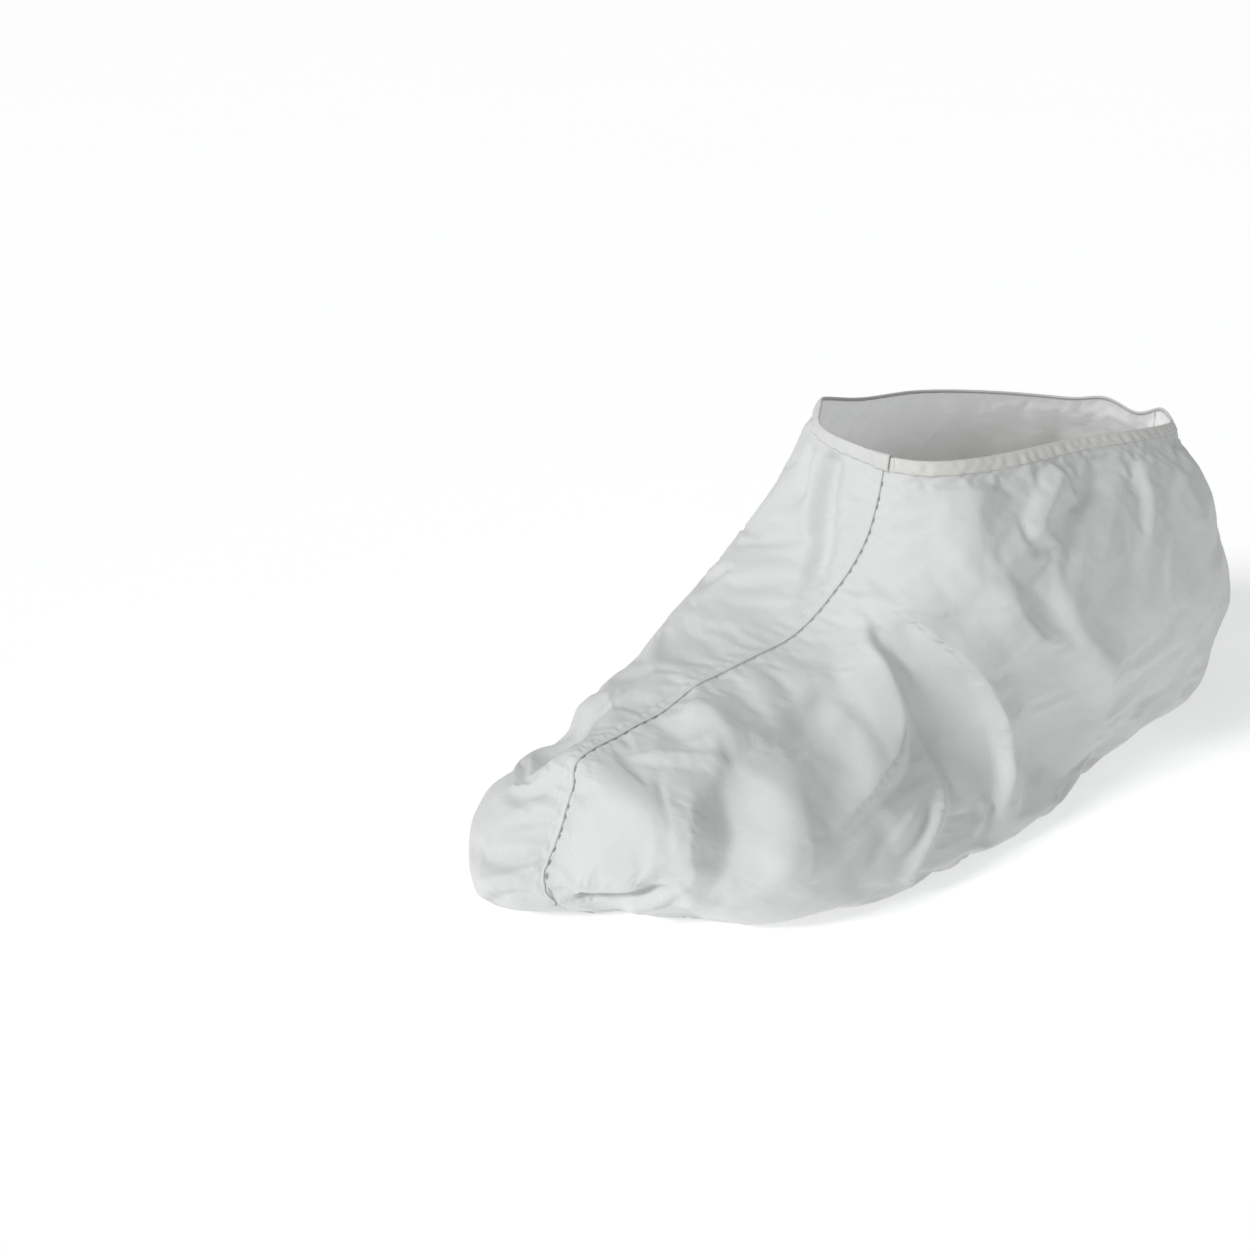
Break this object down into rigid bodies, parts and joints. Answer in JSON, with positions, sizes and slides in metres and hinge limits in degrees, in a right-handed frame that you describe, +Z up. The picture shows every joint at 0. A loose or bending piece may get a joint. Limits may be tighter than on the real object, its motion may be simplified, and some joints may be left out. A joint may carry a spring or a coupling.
{
  "type": "disposable shoe cover",
  "caption": "Ankle-high sock-shaped cover of thin white nonwoven cloth with a bound opening and a gathered seam over the instep and toe.",
  "frame": {"origin": "middle of the bounding box, on the floor under the sole", "axes": "+X from the toe toward the heel, +Y toward the wearer's right side, +Z up"},
  "size_m": [0.384, 0.1562, 0.1679],
  "materials": {
    "nonwoven": "thin white nonwoven cloth with a smooth film face",
    "binding": "folded slightly cream binding"
  },
  "bodies": {
    "root": {"left_side": "nonwoven", "right_side": "nonwoven", "centre_seam": "nonwoven", "opening_band": "binding"}
  },
  "joints": []
}
